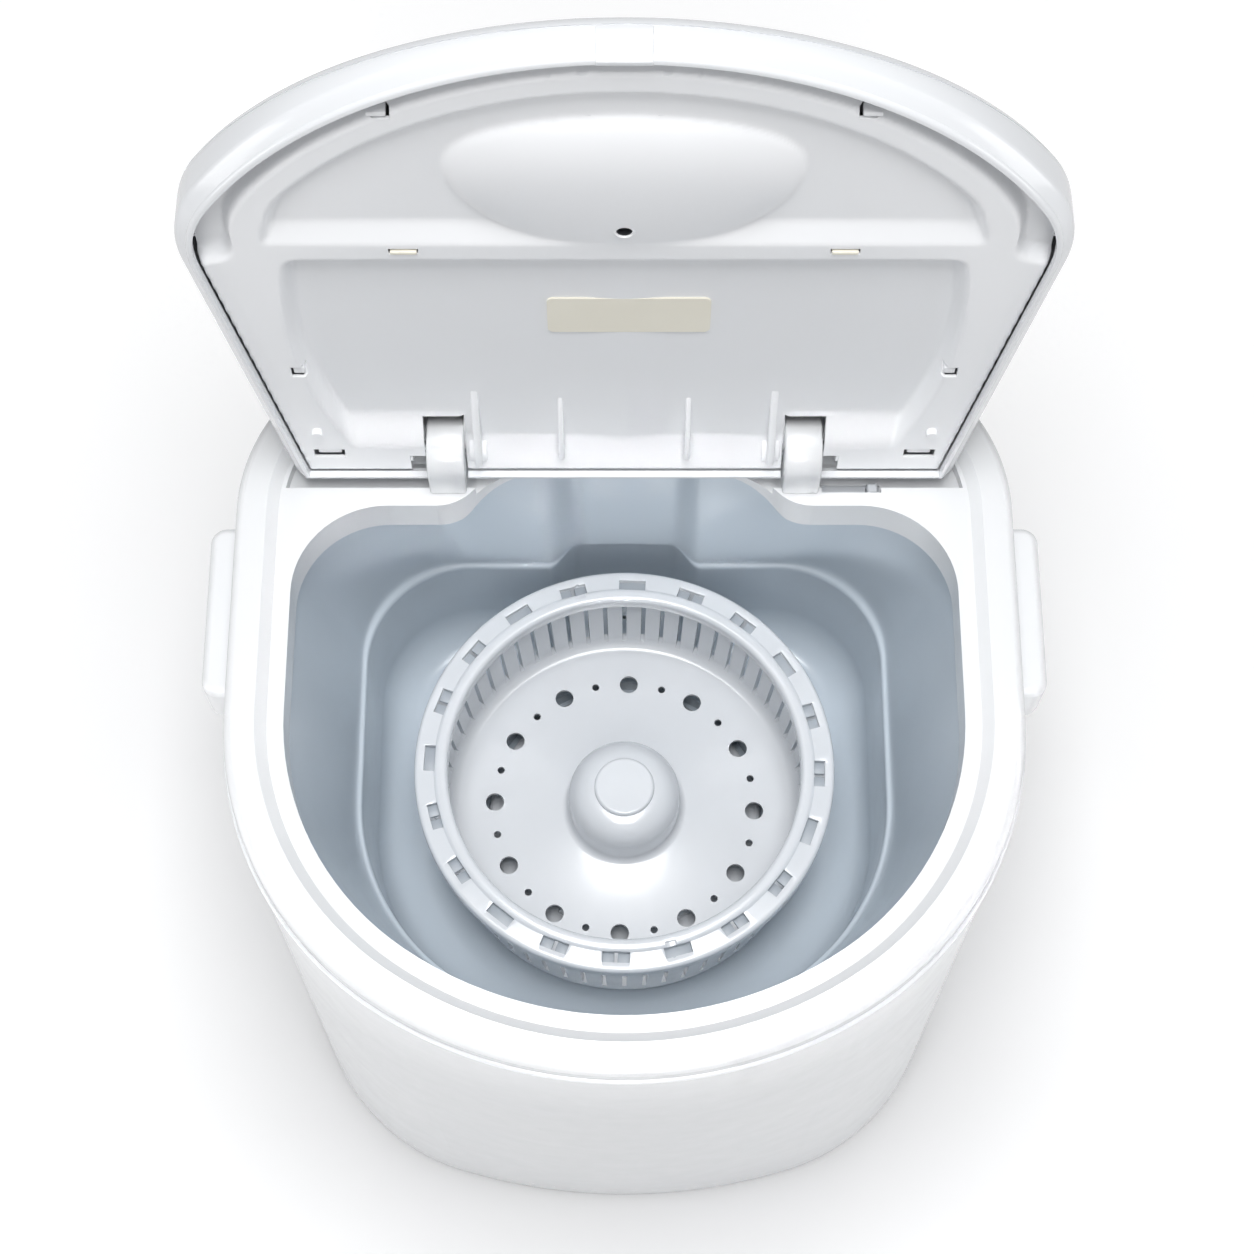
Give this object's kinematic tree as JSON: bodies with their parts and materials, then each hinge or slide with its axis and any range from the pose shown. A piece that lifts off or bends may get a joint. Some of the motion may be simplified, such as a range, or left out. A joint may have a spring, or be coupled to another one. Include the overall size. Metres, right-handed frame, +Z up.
{
  "type": "mini washing machine",
  "caption": "Compact top-loading washing machine with a bowed front, open hinged lid, grey wash tub, lift-out spin basket, side handles and rear control knobs.",
  "frame": {"origin": "on the floor under the middle of the footprint, drain outlet included", "axes": "+Z up, +Y from the bowed front to the flat back with the controls, +X to the right seen from the front"},
  "size_m": [0.408, 0.4039, 0.7094],
  "materials": {
    "case_white": "glossy white",
    "liner_white": "satin cool white",
    "tub_grey": "glossy blue grey",
    "basket_white": "glossy white",
    "pulsator_grey": "glossy pale grey",
    "strip_cream": "matt cream",
    "knob_grey": "satin grey",
    "inner_dark": "matt dark grey",
    "rubber_grey": "matt grey",
    "rubber_black": "matt black",
    "steel": "bright steel",
    "motor_paint": "dark paint",
    "cast_metal": "cast, satin"
  },
  "bodies": {
    "machine": {"feet": "rubber_grey", "base_tray": "case_white", "body_shell": "case_white", "rear_cover": "case_white", "rear_cover_screws": "steel", "top_cover": "case_white", "side_handle_left": "case_white", "side_handle_right": "case_white", "control_panel": "knob_grey", "cord_gland": "rubber_black", "wash_tub": "tub_grey", "tub_strainer": "pulsator_grey", "shaft_seal": "rubber_black", "bearing_housing": "cast_metal", "upper_bearing": "steel", "lower_bearing": "steel", "drive_belt": "rubber_black", "motor_plate": "steel", "motor_plate_screws": "steel", "motor": "motor_paint", "capacitor": "inner_dark", "hinge_post_left": "case_white", "hinge_post_right": "case_white", "hinge_pins": "steel", "lid_switch": "inner_dark", "wash_timer": "inner_dark", "drain_selector": "inner_dark", "drain_valve": "inner_dark", "valve_cap": "inner_dark", "drain_hose": "rubber_grey", "drain_spout": "pulsator_grey"},
    "drive": {"pulsator": "pulsator_grey", "drive_shaft": "steel", "shaft_nut": "steel", "large_pulley": "cast_metal"},
    "basket": {"spin_basket": "basket_white", "basket_rim": "basket_white", "basket_cap": "basket_white"},
    "motor_rotor": {"motor_shaft": "steel", "motor_pulley": "cast_metal"},
    "lid": {"lid_shell": "case_white", "lid_liner": "liner_white", "lid_strip": "strip_cream", "lid_bumpers": "liner_white"},
    "timer_control": {"timer_shaft": "steel", "timer_knob": "knob_grey"},
    "drain_control": {"selector_shaft": "steel", "drain_knob": "knob_grey"},
    "drain_rod": {"drain_plunger": "rubber_grey"},
    "lid_lever": {"switch_lever": "knob_grey"}
  },
  "joints": [
    {"name": "lid_hinge", "type": "hinge", "parent": "machine", "child": "lid", "pos_m": [0, 0.0995, 0.407], "axis": [1, 0, 0], "range_deg": [0, 95]},
    {"name": "drive_spin", "type": "hinge", "parent": "machine", "child": "drive", "pos_m": [0, -0.016, 0.1], "axis": [0, 0, 1], "continuous": true},
    {"name": "basket_lift", "type": "slide", "parent": "drive", "child": "basket", "axis": [0, 0, 1], "range_m": [0, 0.1]},
    {"name": "motor_spin", "type": "hinge", "parent": "machine", "child": "motor_rotor", "pos_m": [0, -0.134, 0.1], "axis": [0, 0, 1], "continuous": true},
    {"name": "timer_turn", "type": "hinge", "parent": "machine", "child": "timer_control", "pos_m": [-0.05, 0.1475, 0.395], "axis": [0, 0, -1], "range_deg": [0, 270]},
    {"name": "drain_turn", "type": "hinge", "parent": "machine", "child": "drain_control", "pos_m": [0.05, 0.1475, 0.395], "axis": [0, 0, -1], "range_deg": [0, 90]},
    {"name": "drain_lift", "type": "slide", "parent": "machine", "child": "drain_rod", "axis": [0, 0, 1], "range_m": [0, 0.008]},
    {"name": "lever_press", "type": "slide", "parent": "machine", "child": "lid_lever", "axis": [0, 0, -1], "range_m": [0, 0.003], "stiffness_N_per_m": 60}
  ],
  "couplings": [
    {"joint": "motor_spin", "follows": "drive_spin", "ratio": 4},
    {"joint": "drain_lift", "follows": "drain_turn", "m_per_rad": 0.00509}
  ]
}
